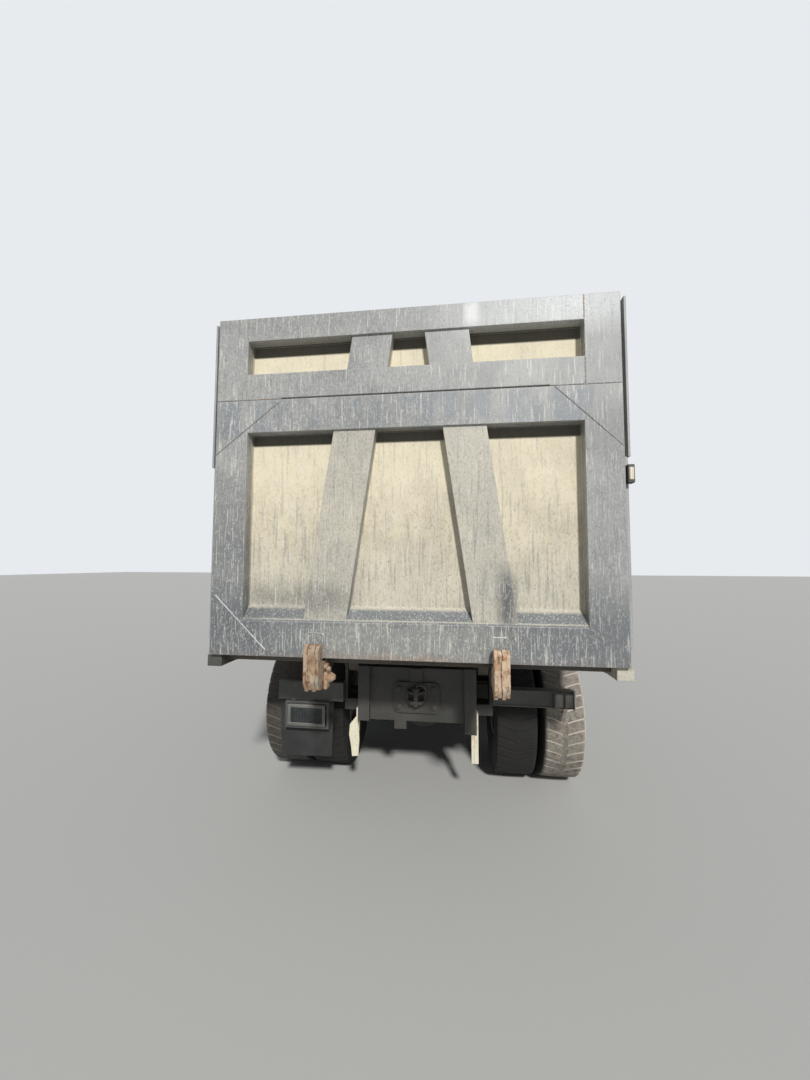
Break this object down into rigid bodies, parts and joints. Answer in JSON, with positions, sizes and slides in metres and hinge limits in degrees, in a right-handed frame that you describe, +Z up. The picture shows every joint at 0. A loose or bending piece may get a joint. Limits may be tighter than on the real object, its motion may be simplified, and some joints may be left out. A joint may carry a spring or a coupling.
{
  "type": "dump truck",
  "caption": "Three-axle rear-tipping dump truck with a high-sided steel body, top-hung tailgate with hook locks, telescopic hoist and tilting forward cab.",
  "frame": {"origin": "on the ground, at the middle of the truck's length and width", "axes": "+Y forward towards the cab, +X to the truck's right, +Z up"},
  "size_m": [2.79, 8.325, 3.426],
  "materials": {
    "body_paint": "dusty satin grey paint",
    "cab_paint": "satin grey paint",
    "chassis_paint": "dusty dark grey paint",
    "cast_block": "dusty cast metal",
    "radiator_metal": "dull fins",
    "hanger_paint": "cream paint, chipped",
    "rusty_steel": "rusted plate",
    "tyre_rubber": "worn and dusty",
    "wheel_paint": "dusty grey paint",
    "flap_rubber": "dusty",
    "lamp_plastic": "lens plastic",
    "black_plastic": "dusty grain",
    "tank_metal": "brushed",
    "air_tank_paint": "satin black",
    "silencer_metal": "heat stained",
    "seat_fabric": "woven",
    "hoist_paint": "satin",
    "hoist_chrome": "polished",
    "window_glass": "clear"
  },
  "bodies": {
    "chassis": {"chassis_frame": "chassis_paint", "tow_coupling": "chassis_paint", "guard_hangers": "hanger_paint", "lamp_brackets": "chassis_paint", "tail_lamps": "lamp_plastic", "mud_flap": "flap_rubber", "rear_axles": "chassis_paint", "leaf_springs": "chassis_paint", "bogie_trunnion": "chassis_paint", "propeller_shafts": "chassis_paint", "engine": "cast_block", "radiator": "radiator_metal", "fuel_tank": "tank_metal", "air_tanks": "air_tank_paint", "battery_box": "black_plastic", "silencer": "silencer_metal", "front_axle": "chassis_paint", "bumper": "black_plastic", "headlamps": "lamp_plastic", "front_fenders": "black_plastic"},
    "knuckle_left": {"knuckle_left": "chassis_paint"},
    "knuckle_right": {"knuckle_right": "chassis_paint"},
    "tie_rod": {"tie_rod": "chassis_paint"},
    "front_wheel_left": {"tyre_front_left": "tyre_rubber", "wheel_front_left": "wheel_paint"},
    "front_wheel_right": {"tyre_front_right": "tyre_rubber", "wheel_front_right": "wheel_paint"},
    "twin_first_left": {"tyres_first_left": "tyre_rubber", "wheels_first_left": "wheel_paint"},
    "twin_first_right": {"tyres_first_right": "tyre_rubber", "wheels_first_right": "wheel_paint"},
    "twin_last_left": {"tyres_last_left": "tyre_rubber", "wheels_last_left": "wheel_paint"},
    "twin_last_right": {"tyres_last_right": "tyre_rubber", "wheels_last_right": "wheel_paint"},
    "bed": {"bed_floor": "body_paint", "bed_side_left": "body_paint", "bed_side_right": "body_paint", "bed_front_wall": "body_paint"},
    "gate": {"tailgate": "body_paint", "gate_board": "body_paint"},
    "gate_locks": {"gate_locks": "rusty_steel"},
    "hoist_foot": {"hoist_foot": "hoist_chrome"},
    "hoist_stage_lower": {"hoist_stage_lower": "hoist_chrome"},
    "hoist_stage_upper": {"hoist_stage_upper": "hoist_chrome"},
    "hoist_cover": {"hoist_cover": "hoist_paint"},
    "cab": {"cab_floor": "black_plastic", "cab_back": "cab_paint", "cab_roof": "cab_paint", "cab_front": "cab_paint", "cab_sides": "cab_paint", "cab_windows": "window_glass", "seats": "seat_fabric", "dashboard": "black_plastic", "mirrors": "black_plastic"},
    "door_left": {"door_left": "cab_paint", "door_glass_left": "window_glass"},
    "door_right": {"door_right": "cab_paint", "door_glass_right": "window_glass"}
  },
  "joints": [
    {"name": "steering", "type": "hinge", "parent": "chassis", "child": "knuckle_left", "pos_m": [-0.86, 2.6585, 0.5625], "axis": [0, 0, 1], "range_deg": [-35, 35]},
    {"name": "steering_right", "type": "hinge", "parent": "chassis", "child": "knuckle_right", "pos_m": [0.86, 2.6585, 0.5625], "axis": [0, 0, 1], "range_deg": [-35, 35]},
    {"name": "tie_rod_shift", "type": "slide", "parent": "chassis", "child": "tie_rod", "axis": [1, 0, 0], "range_m": [-0.1165, 0.1165]},
    {"name": "front_wheel_left_turn", "type": "hinge", "parent": "knuckle_left", "child": "front_wheel_left", "pos_m": [-1.018, 2.6585, 0.5625], "axis": [1, 0, 0], "continuous": true},
    {"name": "front_wheel_right_turn", "type": "hinge", "parent": "knuckle_right", "child": "front_wheel_right", "pos_m": [1.018, 2.6585, 0.5625], "axis": [1, 0, 0], "continuous": true},
    {"name": "twin_first_left_turn", "type": "hinge", "parent": "chassis", "child": "twin_first_left", "pos_m": [-0.92, -1.3165, 0.5625], "axis": [1, 0, 0], "continuous": true},
    {"name": "twin_first_right_turn", "type": "hinge", "parent": "chassis", "child": "twin_first_right", "pos_m": [0.92, -1.3165, 0.5625], "axis": [1, 0, 0], "continuous": true},
    {"name": "twin_last_left_turn", "type": "hinge", "parent": "chassis", "child": "twin_last_left", "pos_m": [-0.92, -2.7165, 0.5625], "axis": [1, 0, 0], "continuous": true},
    {"name": "twin_last_right_turn", "type": "hinge", "parent": "chassis", "child": "twin_last_right", "pos_m": [0.92, -2.7165, 0.5625], "axis": [1, 0, 0], "continuous": true},
    {"name": "bed_tip", "type": "hinge", "parent": "chassis", "child": "bed", "pos_m": [0, -3.3165, 1], "axis": [1, 0, 0], "range_deg": [0, 48]},
    {"name": "gate_swing", "type": "hinge", "parent": "bed", "child": "gate", "pos_m": [0, -3.8665, 3.386], "axis": [-1, 0, 0], "range_deg": [0, 60]},
    {"name": "gate_locks_turn", "type": "hinge", "parent": "bed", "child": "gate_locks", "pos_m": [0, -3.8215, 1.18], "axis": [1, 0, 0], "range_deg": [0, 65]},
    {"name": "hoist_lean", "type": "hinge", "parent": "chassis", "child": "hoist_foot", "pos_m": [0, 1.9035, 0.95], "axis": [1, 0, 0], "range_deg": [0, 25.6]},
    {"name": "hoist_slide_1", "type": "slide", "parent": "hoist_foot", "child": "hoist_stage_lower", "axis": [0, 0, 1], "range_m": [0, 1.41]},
    {"name": "hoist_slide_2", "type": "slide", "parent": "hoist_stage_lower", "child": "hoist_stage_upper", "axis": [0, 0, 1], "range_m": [0, 1.41]},
    {"name": "hoist_slide_3", "type": "slide", "parent": "hoist_stage_upper", "child": "hoist_cover", "axis": [0, 0, 1], "range_m": [0, 1.41]},
    {"name": "cab_tilt", "type": "hinge", "parent": "chassis", "child": "cab", "pos_m": [0, 3.9355, 1], "axis": [-1, 0, 0], "range_deg": [0, 45]},
    {"name": "door_left_swing", "type": "hinge", "parent": "cab", "child": "door_left", "pos_m": [-1.19, 3.7735, 2], "axis": [0, 0, -1], "range_deg": [0, 70]},
    {"name": "door_right_swing", "type": "hinge", "parent": "cab", "child": "door_right", "pos_m": [1.19, 3.7735, 2], "axis": [0, 0, 1], "range_deg": [0, 70]}
  ],
  "couplings": [
    {"joint": "steering_right", "follows": "steering", "ratio": 1},
    {"joint": "tie_rod_shift", "follows": "steering", "m_per_rad": 0.19},
    {"joint": "hoist_lean", "follows": "bed_tip", "ratio": 0.53125},
    {"joint": "hoist_slide_1", "follows": "bed_tip", "m_per_rad": 1.6763},
    {"joint": "hoist_slide_2", "follows": "bed_tip", "m_per_rad": 1.6763},
    {"joint": "hoist_slide_3", "follows": "bed_tip", "m_per_rad": 1.6763}
  ]
}
